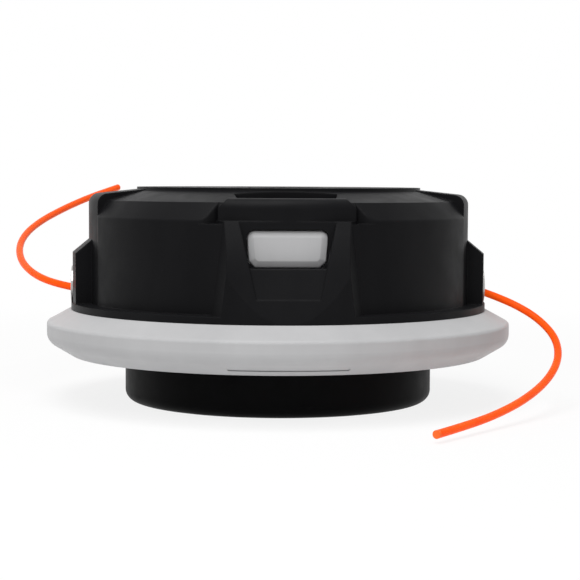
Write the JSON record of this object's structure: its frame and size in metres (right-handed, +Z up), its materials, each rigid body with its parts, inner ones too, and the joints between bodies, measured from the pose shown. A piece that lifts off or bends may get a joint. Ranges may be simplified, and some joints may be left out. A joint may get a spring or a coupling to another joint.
{
  "type": "trimmer head",
  "caption": "Round bump-feed trimmer head: black drum housing with latch windows, pale guard ring, tap knob below, and bright nylon cutting line leaving eyelets at its sides.",
  "frame": {"origin": "under the middle of the bump knob, on the surface it stands on", "axes": "+Z up along the drive axis, X through the line eyelets, -Y towards the front latch"},
  "size_m": [0.1794, 0.2224, 0.0692],
  "materials": {
    "housing_nylon": "satin moulded, filled nylon",
    "knob_nylon": "satin moulded nylon",
    "cover_nylon": "smooth moulded nylon",
    "spool_nylon": "smooth moulded nylon",
    "eyelet_metal": "turned, bright",
    "plated_steel": "zinc plated",
    "spring_steel": "drawn wire",
    "line_nylon": "extruded, slightly translucent"
  },
  "bodies": {
    "housing": {"housing": "housing_nylon", "arbor_nut": "plated_steel", "eyelet_right": "eyelet_metal", "eyelet_left": "eyelet_metal", "lower_cover": "cover_nylon", "bump_spring": "spring_steel", "line_end_right": "line_nylon", "line_end_left": "line_nylon"},
    "spring_seat": {"spring_washer": "plated_steel"},
    "spool": {"line_spool": "spool_nylon", "bump_knob": "knob_nylon", "knob_screws": "plated_steel", "line_winding_lower": "line_nylon", "line_winding_upper": "line_nylon"},
    "latch_front": {"latch_tab_front": "cover_nylon"},
    "latch_rear": {"latch_tab_rear": "cover_nylon"}
  },
  "joints": [
    {"name": "bump_slide", "type": "slide", "parent": "housing", "child": "spring_seat", "axis": [0, 0, 1], "range_m": [0, 0.007], "stiffness_N_per_m": 2500, "springref_m": -0.012, "deforming": ["bump_spring"]},
    {"name": "spool_turn", "type": "hinge", "parent": "spring_seat", "child": "spool", "pos_m": [0, 0, 0], "axis": [0, 0, 1], "range_deg": [0, 45]},
    {"name": "latch_front_press", "type": "hinge", "parent": "housing", "child": "latch_front", "pos_m": [0, -0.05525, 0.0225], "axis": [-1, 0, 0], "range_deg": [0, 6], "stiffness_Nm_per_rad": 0.6},
    {"name": "latch_rear_press", "type": "hinge", "parent": "housing", "child": "latch_rear", "pos_m": [0, 0.05525, 0.0225], "axis": [1, 0, 0], "range_deg": [0, 6], "stiffness_Nm_per_rad": 0.6}
  ],
  "couplings": [
    {"joint": "spool_turn", "follows": "bump_slide", "rad_per_m": 112.19}
  ]
}
